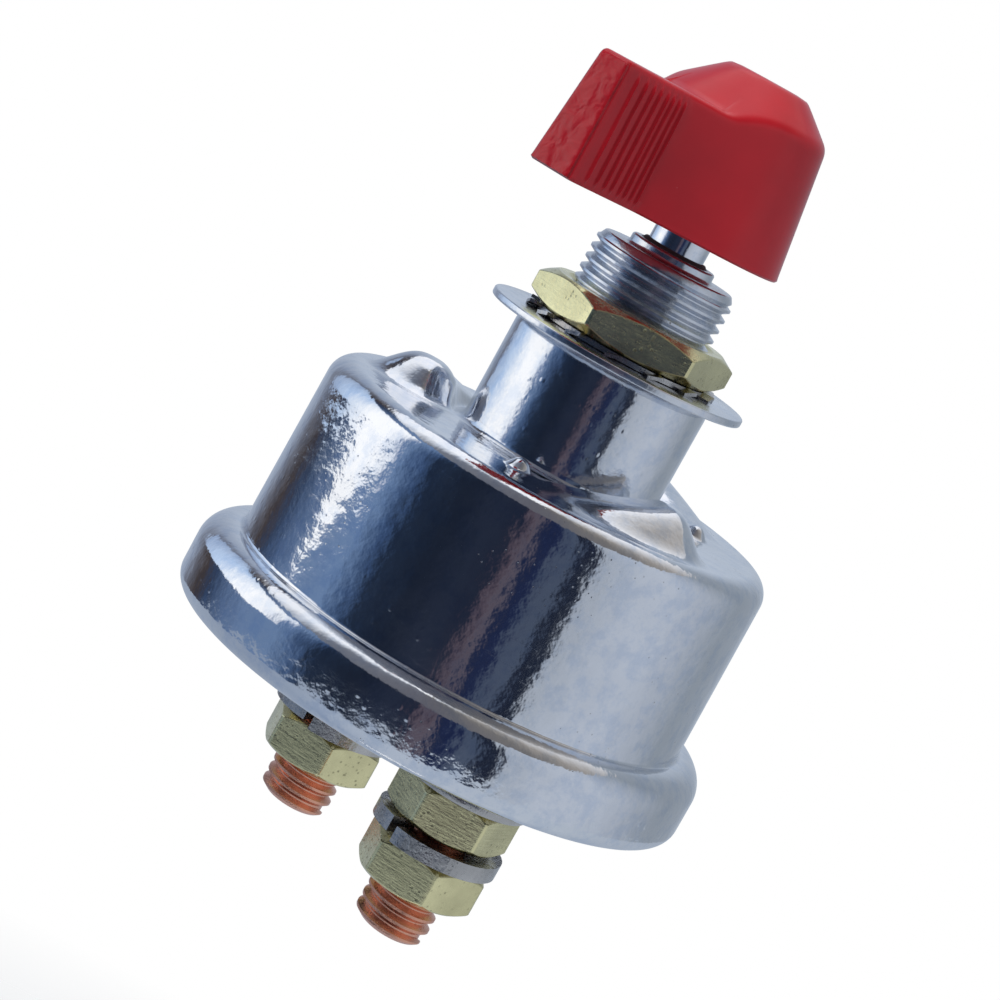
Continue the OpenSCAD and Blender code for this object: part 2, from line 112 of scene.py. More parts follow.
def turned(name, profile, segments=192, centre=(0, 0), closed=True, lift=None, crease=32.0):
    """A turned piece from its section; lift moves points in height as a function of radius and angle."""
    prof = np.array(profile, float)
    angle = np.linspace(0, 2 * np.pi, segments, endpoint=False)
    points = np.zeros((len(prof), segments, 3))
    points[:, :, 0] = centre[0] + prof[:, :1] * np.cos(angle)
    points[:, :, 1] = centre[1] + prof[:, :1] * np.sin(angle)
    points[:, :, 2] = prof[:, 1:]
    if lift is not None:
        points[:, :, 2] += lift(prof[:, :1], angle[None, :], prof[:, 1:])
    return grid_object(name, points, closed, crease)


def settle(piece, body, look, replaced=()):
    """Gives a finished piece its look, its body and the nodes it stands for."""
    piece.data.materials.clear()
    piece.data.materials.append(look)
    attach(piece, body)
    if replaced:
        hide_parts(*replaced)
    return piece


def stud_centre(side):
    a = math.radians(STUD_TURN + (0 if side == "front" else 180))
    return STUD_DIST * math.cos(a), STUD_DIST * math.sin(a)


class Value:
    """A shader socket that takes part in Python expressions."""

    def __init__(self, look, socket):
        self.look, self.socket = look, socket

    def _math(self, operation, first, second):
        return self.look.make("ShaderNodeMath", {"operation": operation}, {0: first, 1: second})

    def __add__(self, other):
        return self._math("ADD", self, other)

    def __radd__(self, other):
        return self._math("ADD", other, self)

    def __sub__(self, other):
        return self._math("SUBTRACT", self, other)

    def __rsub__(self, other):
        return self._math("SUBTRACT", other, self)

    def __mul__(self, other):
        return self._math("MULTIPLY", self, other)

    def __rmul__(self, other):
        return self._math("MULTIPLY", other, self)

    def __pow__(self, other):
        return self._math("POWER", self, other)

    def above(self, edge):
        return self._math("GREATER_THAN", self, edge)


class Look:
    """One procedural material."""

    def __init__(self, name):
        self.material = bpy.data.materials.new(name)
        self.material.use_nodes = True
        self.tree = self.material.node_tree
        self.shader = self.tree.nodes["Principled BSDF"]

    def make(self, kind, settings=None, sockets=None, out=0):
        node = self.tree.nodes.new(kind)
        for key, value in (settings or {}).items():
            if key == "stops":
                ramp = node.color_ramp
                while len(ramp.elements) < len(value):
                    ramp.elements.new(0.5)
                for element, (place, tint) in zip(ramp.elements, value):
                    element.position, element.color = place, (*tint, 1) if len(tint) == 3 else tint
            else:
                setattr(node, key, value)
        for key, value in (sockets or {}).items():
            self.feed(node.inputs[key], value)
        return Value(self, node.outputs[out])

    def feed(self, socket, value):
        if isinstance(value, Value):
            self.tree.links.new(value.socket, socket)
        elif hasattr(socket.default_value, "__len__") and not isinstance(value, (int, float)):
            lacks_alpha = len(value) == 3 and len(socket.default_value) == 4
            socket.default_value = (*value, 1) if lacks_alpha else value
        else:
            socket.default_value = value

    def place(self, scale=(1, 1, 1), location=(0, 0, 0), rotation=(0, 0, 0)):
        coords = self.make("ShaderNodeTexCoord", out="Object")
        return self.make("ShaderNodeMapping", None,
                         {"Vector": coords, "Scale": scale, "Location": location, "Rotation": rotation})

    def noise(self, scale, detail=4.0, rough=0.55, where=None, distortion=0.0):
        return self.make("ShaderNodeTexNoise", None,
                         {"Vector": where or self.place(), "Scale": scale, "Detail": detail,
                          "Roughness": rough, "Distortion": distortion}, out="Fac")

    def cells(self, scale, where=None, feature="F1", out="Distance"):
        return self.make("ShaderNodeTexVoronoi", {"feature": feature},
                         {"Vector": where or self.place(), "Scale": scale}, out=out)

    def ramp(self, factor, *stops):
        return self.make("ShaderNodeValToRGB", {"stops": stops}, {"Fac": factor})

    def span(self, value, low, high, to_low=0.0, to_high=1.0):
        return self.make("ShaderNodeMapRange", {"clamp": True},
                         {"Value": value, "From Min": low, "From Max": high,
                          "To Min": to_low, "To Max": to_high})

    def mix(self, factor, first, second):
        node = self.tree.nodes.new("ShaderNodeMix")
        node.data_type = "RGBA"
        self.feed(node.inputs["Factor"], factor)
        self.feed(node.inputs[6], first)
        self.feed(node.inputs[7], second)
        return Value(self, node.outputs[2])

    def bump(self, height, strength, distance, normal=None):
        sockets = {"Height": height, "Strength": strength, "Distance": distance}
        if normal is not None:
            sockets["Normal"] = normal
        return self.make("ShaderNodeBump", None, sockets)

    def split(self, vector):
        node = self.tree.nodes.new("ShaderNodeSeparateXYZ")
        self.feed(node.inputs[0], vector)
        return [Value(self, out) for out in node.outputs]

    def finish(self, **inputs):
        for key, value in inputs.items():
            self.feed(self.shader.inputs[key.replace("_", " ")], value)
        return self.material


def bright_zinc(name, tint, peel=1.0, dirt=1.0, rough=0.07):
    """Polished steel under bright zinc: a faint orange peel, pimples, pits and cloudy dirt."""
    look = Look(name)
    cloud = look.span(look.noise(45, 6, 0.6), 0.35, 0.75)
    busy = look.span(look.noise(60, 4, 0.6, look.place(location=(0.3, 0.1, 0.7))), 0.47, 0.66)
    pimple = look.span(look.cells(620), 0.09, 0.26, 1, 0) * busy
    pit = look.span(look.cells(900, look.place(location=(0.5, 0.2, 0.1))), 0.05, 0.13, 1, 0)
    pit = pit * look.noise(75, 3).above(0.56)
    hair = look.span(look.noise(170, 8, 0.7, look.place((1, 1, 6), rotation=(0.3, 0.2, 0)), 0.6), 0.62, 0.72)
    colour = look.mix(cloud, tint, tuple(c * 0.86 for c in tint))
    mottle = look.span(look.noise(380, 5, 0.7, look.place(location=(0.2, 0.6, 0.4))), 0.46, 0.62)
    colour = look.mix(mottle * 0.5, colour, (tint[0] * 0.66, tint[1] * 0.74, tint[2] * 0.86))
    colour = look.mix(pit * (0.5 * dirt), colour, (0.22, 0.20, 0.19))
    roughness = rough + cloud * 0.05 + busy * 0.05 + hair * 0.06 + pit * 0.3
    wave = look.noise(430, 3, 0.5) * (0.80 * peel) + look.noise(1500, 3, 0.6) * (0.05 + busy * 0.05)
    height = wave + pimple * (0.26 * dirt) + hair * 0.02 - pit * 0.10
    return look.finish(Base_Color=colour, Metallic=1.0, Roughness=roughness,
                       Normal=look.bump(height, 1.0, 0.0001))


def yellow_zinc(name, tint, dark):
    """Yellow zinc over a rolled hexagon bar: brushed along, speckled, gold where the film is thick."""
    look = Look(name)
    brush = look.noise(330, 6, 0.65, look.place((1, 1, 8)), 0.2)
    patch = look.span(look.noise(140, 5, 0.6), 0.35, 0.7)
    speck = look.span(look.cells(1300), 0.12, 0.30, 1, 0) * look.span(look.noise(260, 3), 0.42, 0.60)
    colour = look.mix(patch, tint, dark)
    colour = look.mix(speck * 0.8, colour, tuple(c * 0.42 for c in tint))
    roughness = 0.17 + look.span(brush, 0.3, 0.7) * 0.12 + speck * 0.2
    height = brush * 0.6 + look.noise(1500, 3, 0.6) * 0.35 - speck * 0.35
    return look.finish(Base_Color=colour, Metallic=1.0, Roughness=roughness,
                       Normal=look.bump(height, 1.0, 0.00006))


def plain_metal(name, tint, rough, grain=1.0, stretch=(1, 1, 1)):
    """Bare wire, washer or copper: cloudy tone, fine grain and small marks."""
    look = Look(name)
    cloud = look.noise(160, 6, 0.6)
    grainy = look.noise(900, 4, 0.7, look.place(stretch))
    marks = look.span(look.cells(1300), 0.10, 0.24, 1, 0) * look.span(look.noise(200, 3), 0.5, 0.7)
    colour = look.mix(look.span(cloud, 0.35, 0.75), tint, tuple(c * 0.68 for c in tint))
    colour = look.mix(marks * 0.5, colour, tuple(c * 0.3 for c in tint))
    return look.finish(Base_Color=colour, Metallic=1.0,
                       Roughness=rough + look.span(grainy, 0.3, 0.7) * 0.15 + marks * 0.2,
                       Normal=look.bump(grainy * grain - marks * 0.4, 0.3, 0.0003))


def red_enamel(name, tint, deep):
    """Gloss red paint over a rough casting: pebbled on the wing's end, worn specks along the sides."""
    look = Look(name)
    along = math.radians(WING_TURN)
    x, y, z = look.split(look.make("ShaderNodeTexCoord", out="Object"))
    reach = x * math.cos(along) + y * math.sin(along)
    tip = look.span(reach + z * (1.1 / WING_H), 0.02950, 0.02968)
    pebble = look.noise(430, 2, 0.4, None, 0.4)
    specks = look.span(look.cells(420), 0.045, 0.075, 1, 0) * look.noise(90, 2).above(0.62)
    slanted = look.place((7, 7, 1), rotation=(0.5, 0.4, 0.3))
    scratch = look.span(look.noise(110, 7, 0.7, slanted, 0.5), 0.70, 0.76)
    colour = look.mix(look.span(look.noise(80, 4), 0.35, 0.7), tint, deep)
    colour = look.mix(specks * 0.6, colour, (0.70, 0.30, 0.32))
    colour = look.mix(scratch * 0.2, colour, (0.55, 0.10, 0.12))
    height = look.noise(300, 3, 0.5) * 0.10 + tip * pebble * 3.4 + look.noise(1500, 2) * 0.03 - specks * 0.12
    roughness = 0.26 + specks * 0.3 + scratch * 0.15 + look.noise(400, 3) * 0.06
    return look.finish(Base_Color=colour, Roughness=roughness,
                       Coat_Weight=0.05, Coat_Roughness=0.10, Specular_IOR_Level=0.38,
                       Normal=look.bump(height, 1.0, 0.00018))


def moulded(name, tint, rough, scale=500):
    """Moulded or pressed non-metal: fine grain, dusty patches."""
    look = Look(name)
    dust = look.span(look.noise(120, 6, 0.65), 0.45, 0.8)
    grain = look.noise(scale, 4, 0.6)
    colour = look.mix(dust * 0.5, tint, tuple(min(1, c * 2.2 + 0.02) for c in tint))
    return look.finish(Base_Color=colour, Roughness=rough + dust * 0.2,
                       Normal=look.bump(grain, 0.25, 0.0003))


LOOKS = {}


def thread_tree():
    """Node tree that sweeps one thread ridge along a spiral and fades it out at both ends."""
    tree = bpy.data.node_groups.new("thread_ridge", "GeometryNodeTree")
    face = tree.interface
    face.new_socket("Geometry", in_out="OUTPUT", socket_type="NodeSocketGeometry")
    for label in ("Root radius", "Pitch", "Length", "Depth"):
        face.new_socket(label, in_out="INPUT", socket_type="NodeSocketFloat")
    face.new_socket("Turns", in_out="INPUT", socket_type="NodeSocketFloat")
    face.new_socket("Steps", in_out="INPUT", socket_type="NodeSocketInt")
    face.new_socket("Look", in_out="INPUT", socket_type="NodeSocketMaterial")
    add, link = tree.nodes.new, tree.links.new
    entry, leave = add("NodeGroupInput"), add("NodeGroupOutput")
    spiral = add("GeometryNodeCurveSpiral")
    link(entry.outputs["Steps"], spiral.inputs["Resolution"])
    link(entry.outputs["Turns"], spiral.inputs["Rotations"])
    for end in ("Start Radius", "End Radius"):
        link(entry.outputs["Root radius"], spiral.inputs[end])
    link(entry.outputs["Length"], spiral.inputs["Height"])
    upright = add("GeometryNodeSetCurveNormal")
    upright.mode = "Z_UP"
    link(spiral.outputs[0], upright.inputs["Curve"])
    where = add("GeometryNodeSplineParameter")
    fade = add("ShaderNodeFloatCurve")
    points = fade.mapping.curves[0].points
    points[0].location, points[1].location = (0, 0.05), (1, 0.05)
    points.new(0.03, 1.0)
    points.new(0.95, 1.0)
    fade.mapping.update()
    link(where.outputs["Factor"], fade.inputs["Value"])
    radius = add("GeometryNodeSetCurveRadius")
    link(upright.outputs[0], radius.inputs["Curve"])
    link(fade.outputs[0], radius.inputs["Radius"])
    wedge = add("GeometryNodeCurvePrimitiveQuadrilateral")
    wedge.mode = "TRAPEZOID"
    half = add("ShaderNodeMath")
    half.operation = "MULTIPLY"
    half.inputs[1].default_value = 0.94
    link(entry.outputs["Pitch"], half.inputs[0])
    crest = add("ShaderNodeMath")
    crest.operation = "MULTIPLY"
    crest.inputs[1].default_value = 0.22
    link(entry.outputs["Pitch"], crest.inputs[0])
    link(half.outputs[0], wedge.inputs["Bottom Width"])
    link(crest.outputs[0], wedge.inputs["Top Width"])
    wedge.inputs["Offset"].default_value = 0
    link(entry.outputs["Depth"], wedge.inputs["Height"])
    turn = add("GeometryNodeTransform")
    turn.inputs["Rotation"].default_value = (0, 0, math.radians(90))
    link(wedge.outputs[0], turn.inputs["Geometry"])
    sweep = add("GeometryNodeCurveToMesh")
    sweep.inputs["Fill Caps"].default_value = True
    link(radius.outputs[0], sweep.inputs["Curve"])
    link(turn.outputs[0], sweep.inputs["Profile Curve"])
    if "Scale" in sweep.inputs:
        link(fade.outputs[0], sweep.inputs["Scale"])
    real = add("GeometryNodeRealizeInstances")
    paint = add("GeometryNodeSetMaterial")
    link(sweep.outputs[0], real.inputs[0])
    link(real.outputs[0], paint.inputs["Geometry"])
    link(entry.outputs["Look"], paint.inputs["Material"])
    link(paint.outputs[0], leave.inputs[0])
    return tree


def thread(name, root_r, depth, pitch, low_z, high_z, centre, look):
    """One baked thread ridge, in place."""
    tree = bpy.data.node_groups.get("thread_ridge") or thread_tree()
    holder = bpy.data.objects.new(name + "_maker", bpy.data.meshes.new(name + "_maker"))
    bpy.context.scene.collection.objects.link(holder)
    modifier = holder.modifiers.new("ridge", "NODES")
    modifier.node_group = tree
    turns = (high_z - low_z) / pitch
    wanted = {"Root radius": (root_r + depth / 2) * MM, "Pitch": pitch * MM, "Depth": depth * MM,
              "Length": (high_z - low_z) * MM, "Turns": turns, "Steps": 72, "Look": look}
    for item in tree.interface.items_tree:
        if item.in_out == "INPUT" and item.name in wanted:
            modifier[item.identifier] = wanted[item.name]
    bpy.context.view_layer.update()
    baked = bpy.data.meshes.new_from_object(holder.evaluated_get(bpy.context.evaluated_depsgraph_get()))
    bpy.data.objects.remove(holder)
    baked.transform(Matrix.Translation((centre[0] * MM, centre[1] * MM, low_z * MM)))
    return finish_mesh(name, baked, 40)


def swell(gap, wide):
    """Smooth dome from one at its middle to nought at its foot."""
    return 0.5 + 0.5 * np.cos(np.pi * np.clip(gap / wide, 0, 1) ** 1.35)


def pressed(radius, angle, height):
    """Rise of the shell's flat top over the three cam pockets and the stop nubs."""
    x, y = radius * np.cos(angle), radius * np.sin(angle)
    flat = (np.abs(height - TOP_Z) < 0.05) | (np.abs(height - TOP_Z + SHEET) < 0.05)
    rise = np.zeros(np.broadcast(x, y).shape)
    for at in POCKET_AT:
        bearing = np.degrees(np.arctan2(y, x))
        back = (at - bearing + 180) % 360 - 180
        run = np.clip(back / RAMP_TURN, 0, 1)
        a = np.radians(at - run * RAMP_TURN)
        gap = np.hypot(x - POCKET_DIST * np.cos(a), y - POCKET_DIST * np.sin(a))
        rise = np.maximum(rise, POCKET_RISE * (1 - 0.95 * run) * swell(gap, 7.6 - 1.9 * run))
    for at in NUB_AT:
        nub = math.radians(at)
        spot = np.hypot(x - 19.5 * math.cos(nub), y - 19.5 * math.sin(nub))
        rise = np.maximum(rise, 1.5 * swell(spot, 2.1))
    near_neck = np.clip((np.broadcast_to(radius, rise.shape) - NECK_R - 1.2) / 1.6, 0, 1)
    return np.where(flat, rise * near_neck * near_neck * (3 - 2 * near_neck), 0.0)


class SWITCH_OT_housing(bpy.types.Operator):
    """Drawn steel shell with its neck, cam pockets and rolled rim"""
    bl_idname = "switch.housing"
    bl_label = "Housing"

    def execute(self, context):
        t, hole = SHEET, STEM_R + 0.05
        fillet, foot, top_r, rim_r, edge = 1.2, 0.5, 3.0, 3.8, 1.4
        flat_out = [(r, TOP_Z) for r in np.linspace(NECK_R + fillet, BODY_TOP_R - top_r, 72)]
        flat_in = [(r, TOP_Z - t) for r in np.linspace(BODY_TOP_R - top_r, NECK_R + fillet, 30)]
        section = ([(hole, 0)] + arc(NECK_R - edge, -edge, edge, 90, 0, 10)
                   + arc(NECK_R + fillet, TOP_Z + fillet, fillet, 180, 270, 10)[:-1] + flat_out
                   + arc(BODY_TOP_R - top_r, TOP_Z - top_r, top_r, 90, 0, 16)[1:]
                   + arc(BODY_FOOT_R + foot, LEDGE_Z + foot, foot, 180, 270, 8)
                   + arc(RIM_R - rim_r, LEDGE_Z - rim_r, rim_r, 90, 0, 18)
                   + arc(RIM_R - 2.2, RIM_Z + 2.2, 2.2, 0, -90, 12)
                   + [(RIM_R - 4.4, RIM_Z), (RIM_R - 4.4, RIM_Z + t)]
                   + arc(RIM_R - 2.2, RIM_Z + 2.2, 2.2 - t, -90, 0, 6)
                   + arc(RIM_R - rim_r, LEDGE_Z - rim_r, rim_r - t, 0, 90, 8)
                   + arc(BODY_FOOT_R + foot, LEDGE_Z + foot, foot + t, 270, 180, 5)
                   + arc(BODY_TOP_R - top_r, TOP_Z - top_r, top_r - t, 0, 90, 6)[:-1] + flat_in
                   + arc(NECK_R + fillet, TOP_Z + fillet, fillet + t, 270, 180, 5)[1:]
                   + arc(NECK_R - edge, -edge, edge - t, 0, 90, 3) + [(hole, -t)])
        shell = turned("shell", section, 384, lift=pressed, crease=72)
        settle(shell, BODY, LOOKS["shell"], ["housing"])
        return {"FINISHED"}


class SWITCH_OT_stem(bpy.types.Operator):
    """Threaded stem with its collar and the seat for the shaft seal"""
    bl_idname = "switch.stem"
    bl_label = "Threaded stem"

    def execute(self, context):
        root, bore, seal = STEM_R - 0.80, 3.8, COLLAR_R - 1.1
        section = ([(bore, -4.4), (12.0, -4.4), (12.0, -1.22), (root, -1.22), (root, STEM_H - 1.4)]
                   + [(STEM_R - 0.3, STEM_H - 0.9), (STEM_R - 0.35, STEM_H - 0.75)]
                   + arc(STEM_R - 1.0, STEM_H - 0.4, 0.4, 20, 90, 5)
                   + arc(COLLAR_R + 0.55, STEM_H + 0.55, 0.55, 270, 180, 6)
                   + arc(COLLAR_R - 0.35, STEM_H + COLLAR_H - 0.35, 0.35, 0, 90, 5)
                   + [(seal + 0.02, STEM_H + COLLAR_H), (seal + 0.02, STEM_H - 0.3), (bore, STEM_H - 0.3)])
        stem = turned("stem_core", section, 160)
        settle(stem, BODY, LOOKS["stem"], ["threaded_stem"])
        ridge = thread("stem_thread", root - 0.05, 0.85, STEM_PITCH, -0.9, STEM_H - 0.75, (0, 0),
                       LOOKS["stem"])
        settle(ridge, BODY, LOOKS["stem"])
        return {"FINISHED"}


def hex_nut(name, af, low, high, bore, turn, centre):
    """Hexagon nut with both ends chamfered and its edges a little rounded."""
    corner = af / math.sqrt(3)
    flat_r = af / 2 * 0.97
    angle = np.linspace(0, 2 * np.pi, 360, endpoint=False)
    sector = (np.degrees(angle) - turn + 30) % 60 - 30
    hexagon = np.minimum(af / 2 / np.cos(np.radians(30 - np.abs(sector))), corner - 0.12)
    cut = np.clip(hexagon - flat_r, 0, None) * 0.58
    soft = 0.10
    rows = [(bore + 0 * angle, low + 0.6 + 0 * angle), (bore + 0.6 + 0 * angle, low + 0 * angle),
            (flat_r + 0 * angle, low + 0 * angle), (hexagon - soft, low + cut - soft * 0.4),
            (hexagon, low + cut + soft), (hexagon, high - cut - soft),
            (hexagon - soft, high - cut + soft * 0.4),
            (flat_r + 0 * angle, high + 0 * angle), (bore + 0.6 + 0 * angle, high + 0 * angle),
            (bore + 0 * angle, high - 0.6 + 0 * angle)]
    points = np.zeros((len(rows), len(angle), 3))
    for i, (r, z) in enumerate(rows):
        points[i, :, 0] = centre[0] + r * np.cos(angle)
        points[i, :, 1] = centre[1] + r * np.sin(angle)
        points[i, :, 2] = z
    return grid_object(name, points, True, 24)


class SWITCH_OT_panel_hardware(bpy.types.Operator):
    """Panel nut, tooth lock washer and flat washer"""
    bl_idname = "switch.panel_hardware"
    bl_label = "Panel hardware"

    def execute(self, context):
        nut = hex_nut("panel_hex_nut", 23.8, 1.9, 6.5, STEM_R + 0.05, 8, (0, 0))
        settle(nut, BODY, LOOKS["nut"], ["panel_nut"])
        washer = turned("panel_washer", [(9.7, 0.02), (17.15, 0.02)] + arc(17.15, 0.27, 0.25, -90, 0, 4)
                        + arc(17.15, 0.75, 0.25, 0, 90, 4) + [(9.7, 1.0)], 192)
        settle(washer, BODY, LOOKS["washer"], ["flat_washer"])
        NODES["tooth_lock_washer"].data.materials[0] = LOOKS["steel"]
        return {"FINISHED"}


RIB_AT = (26.0, 24.4, 23.0, 21.8, 20.5, 19.5, 18.4, 17.4)
GRIP_STEPS = 110


def knob_outline(z):
    """One level of the knob seen from above: tip face, ribbed sides, tangent flanks and round back."""
    up = z / WING_H
    radius = KNOB_R - (KNOB_R - KNOB_NECK_R) * z / (KNOB_H - KNOB_CHAMFER)
    tip, half_tip = 28.5 - 1.1 * up, 3.6 - up
    root, half_root = 17.0 - 0.6 * up, 4.9 - 1.2 * up
    soft = 0.8
    side = [(tip, y) for y in np.linspace(0, half_tip - soft, 12)[:-1]]
    side += arc(tip - soft, half_tip - soft, soft, 0, 86, 6)
    show = np.clip(z / 0.8 - 0.6, 0, 1) * np.clip((WING_H - 0.9 - z) / 0.8, 0, 1)
    for x in np.linspace(tip - soft - 0.15, root, GRIP_STEPS):
        flat = half_root + (half_tip - half_root) * (x - root) / (tip - root)
        rib = max(math.exp(-((x - at + 0.8 * up) / 0.21) ** 2) for at in RIB_AT)
        side.append((x, flat + 0.36 * show * rib))
    start = math.atan2(half_root, root) + math.acos(min(1, radius / math.hypot(root, half_root)))
    foot = (radius * math.cos(start), radius * math.sin(start))
    side += [(root + (foot[0] - root) * t, half_root + (foot[1] - half_root) * t)
             for t in np.linspace(0, 1, 18)[1:-1]]
    side += [(radius * math.cos(a), radius * math.sin(a)) for a in np.linspace(start, math.pi, 56)]
    return np.array(side + [(x, -y) for x, y in side[-2:0:-1]])


def knob_top(reach):
    """Height of the knob's top: flat middle, cone, and the wing's plane where the cone has run out."""
    out = reach - KNOB_FLAT_R
    slope = KNOB_CHAMFER / (KNOB_NECK_R - KNOB_FLAT_R)
    return np.maximum(KNOB_H - slope * 0.5 * (out + np.sqrt(out * out + 0.16)) + 0.03, WING_H)


class SWITCH_OT_knob(bpy.types.Operator):
    """Painted cast knob with its ribbed grip, set screw hole and blind bore"""
    bl_idname = "switch.knob"
    bl_label = "Knob"

    def execute(self, context):
        first = knob_outline(0.0)
        turn = np.arctan2(first[:, 1], first[:, 0])
        bore = np.stack((KNOB_BORE_R * np.cos(turn), KNOB_BORE_R * np.sin(turn)), 1)
        rows = [(bore * 0, KNOB_BORE_H), (bore, KNOB_BORE_H), (bore, 0.0),
                (first * 0.985, 0.0), (first, 0.25)]
        # The edge between sides and top is found column by column, and rounded.
        edge_z = np.full(len(first), WING_H)
        levels = {z: knob_outline(z) for z in np.linspace(0, KNOB_H - KNOB_CHAMFER, 61)}
        heights = np.array(sorted(levels))
        stack = np.array([levels[z] for z in heights])

        def at_height(z):
            place = np.clip(z / heights[-1] * (len(heights) - 1), 0, len(heights) - 1 - 1e-6)
            low = place.astype(int)
            part, column = (place - low)[:, None], np.arange(len(first))
            return stack[low, column] * (1 - part) + stack[low + 1, column] * part

        for _ in range(4):
            edge_z = np.minimum(knob_top(np.hypot(*at_height(edge_z).T)), heights[-1])
        soft = 1.0
        for share in np.linspace(0.04, 1, 44):
            z = (edge_z - soft) * share
            rows.append((at_height(z), z))
        edge, below = at_height(edge_z), at_height(edge_z - soft)
        along = np.roll(edge, -1, 0) - np.roll(edge, 1, 0)
        normal = np.stack((along[:, 1], -along[:, 0]), 1) / np.linalg.norm(along, axis=1)[:, None]
        inner = edge - normal * soft * 0.75
        inner_z = knob_top(np.hypot(*inner.T))
        for t in np.linspace(0, 1, 7)[1:]:
            rows.append(((1 - t) ** 2 * below + 2 * t * (1 - t) * edge + t * t * inner,
                         (1 - t) ** 2 * (edge_z - soft) + 2 * t * (1 - t) * edge_z + t * t * inner_z))
        reach = np.hypot(*inner.T)
        middle = np.where(reach > 12.7, 12.13, KNOB_FLAT_R + (reach - KNOB_FLAT_R) * 0.6)
        for start, end, steps in ((reach, middle, 6), (middle, KNOB_FLAT_R + 0 * reach, 8),
                                  (KNOB_FLAT_R + 0 * reach, 0 * reach, 4)):
            for t in np.linspace(0, 1, steps + 1)[1:]:
                now = start + (end - start) * t
                rows.append((inner * (now / reach)[:, None], knob_top(now)))
        points = np.zeros((len(rows), len(first), 3))
        for i, (flat, z) in enumerate(rows):
            points[i, :, :2], points[i, :, 2] = flat, z
        knob = grid_object("knob_casting", points, False, 45)
        bpy.ops.mesh.primitive_cylinder_add(radius=SCREW_R * MM, depth=KNOB_R * MM, vertices=48,
                                            location=(-KNOB_R * MM, 0, SCREW_Z * MM),
                                            rotation=(0, math.pi / 2, 0))
        drill = context.active_object
        cut = knob.modifiers.new("screw_hole", "BOOLEAN")
        cut.operation, cut.solver, cut.object = "DIFFERENCE", "EXACT", drill
        context.view_layer.update()
        baked = bpy.data.meshes.new_from_object(knob.evaluated_get(context.evaluated_depsgraph_get()))
        knob.modifiers.clear()
        knob.data = baked
        bpy.data.objects.remove(drill)
        turned_wing = Matrix.Rotation(math.radians(WING_TURN), 4, "Z")
        baked.transform(Matrix.Translation((0, 0, KNOB_Z * MM)) @ turned_wing)
        settle(knob, "knob_and_shaft", LOOKS["knob"], ["knob"])
        return {"FINISHED"}


class SWITCH_OT_terminals(bpy.types.Operator):
    """Copper studs with their nuts and washers"""
    bl_idname = "switch.terminals"
    bl_label = "Terminals"

    def execute(self, context):
        for side, inner_turn, outer_turn in (("front", 2, -15), ("rear", 24, -18)):
            centre = stud_centre(side)
            root = STUD_R - 0.72
            low = STUD_END
            nuts = {n: [v / MM for v in (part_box(f"{n}_nut_{side}")[0].z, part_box(f"{n}_nut_{side}")[1].z)]
                    for n in ("inner", "outer")}
            core = turned(f"stud_core_{side}",
                          [(0.0, low)] + [(root - 0.5, low)] + arc(root - 0.45, low + 0.45, 0.45, -90, 0, 4)
                          + [(root, -53.0), (STUD_R, -52.4), (STUD_R, -40.8), (6.4, -40.8),
                             (6.4, HEAD_TOP), (0.0, HEAD_TOP)],
                          96, centre)
            settle(core, BODY, LOOKS["copper"], [f"stud_{side}"])
            ridge = thread(f"stud_thread_{side}", root - 0.05, 0.77, PITCH, low + 0.25, -52.6, centre,
                           LOOKS["copper"])
            settle(ridge, BODY, LOOKS["copper"])
            for kind, turn in (("inner", inner_turn), ("outer", outer_turn)):
                nut = hex_nut(f"{kind}_hex_{side}", 14.3, *nuts[kind], STUD_R + 0.05, turn, centre)
                settle(nut, BODY, LOOKS["nut"], [f"{kind}_nut_{side}"])
            pad_low, pad_high = (v.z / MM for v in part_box(f"pad_washer_{side}"))
            section = ([(STUD_R + 0.2, pad_low), (PAD_R, pad_low)]
                       + arc(PAD_R, pad_low + 0.25, 0.25, -90, 0, 3)
                       + arc(PAD_R, pad_high - 0.25, 0.25, 0, 90, 3) + [(STUD_R + 0.2, pad_high)])
            pad = turned(f"pad_{side}", section, 128, centre)
            settle(pad, BODY, LOOKS["steel"], [f"pad_washer_{side}"])
            NODES[f"split_washer_{side}"].data.materials[0] = LOOKS["steel"]
        return {"FINISHED"}


class SWITCH_OT_construction_looks(bpy.types.Operator):
    """Looks of the nodes that are shown as they are built"""
    bl_idname = "switch.construction_looks"
    bl_label = "Shown nodes"

    def execute(self, context):
        # The shaft seal gets a near-black look, which paints the dark shade ring at the shaft's foot.
        shown = {"knob_set_screw": "dark", "shaft": "shaft", "shaft_seal": "seal_shade_ring", "base_disc": "base",
                 "base_gasket": "board", "contact_carrier": "carrier", "contact_disc": "copper",
                 "contact_rivets": "rivet", "contact_spring": "steel", "spring_seat": "steel"}
        for name, look in shown.items():
            mesh = NODES[name].data
            mesh.materials.clear()
            mesh.materials.append(LOOKS[look])
        return {"FINISHED"}


class SwitchLooks(bpy.types.PropertyGroup):
    plate: FloatVectorProperty(name="Plate", description="Colour of the bright plate", subtype="COLOR",
                               default=(0.82, 0.84, 0.88), min=0, max=1)
    zinc: FloatVectorProperty(name="Yellow zinc", description="Colour of the nuts", subtype="COLOR",
                              default=(0.92, 0.84, 0.47), min=0, max=1)
    paint: FloatVectorProperty(name="Knob paint", description="Colour of the knob", subtype="COLOR",
                               default=(0.43, 0.004, 0.012), min=0, max=1)
    copper: FloatVectorProperty(name="Copper", description="Colour of the studs", subtype="COLOR",
                                default=(0.94, 0.47, 0.32), min=0, max=1)
    lamp_power: FloatProperty(name="Lamp power", description="Power that the lamps share out", unit="POWER",
                              default=3.0, min=0)
    floor_drop: FloatProperty(name="Floor drop", description="Depth of the floor below the studs", unit="LENGTH",
                              default=0.21, min=0)


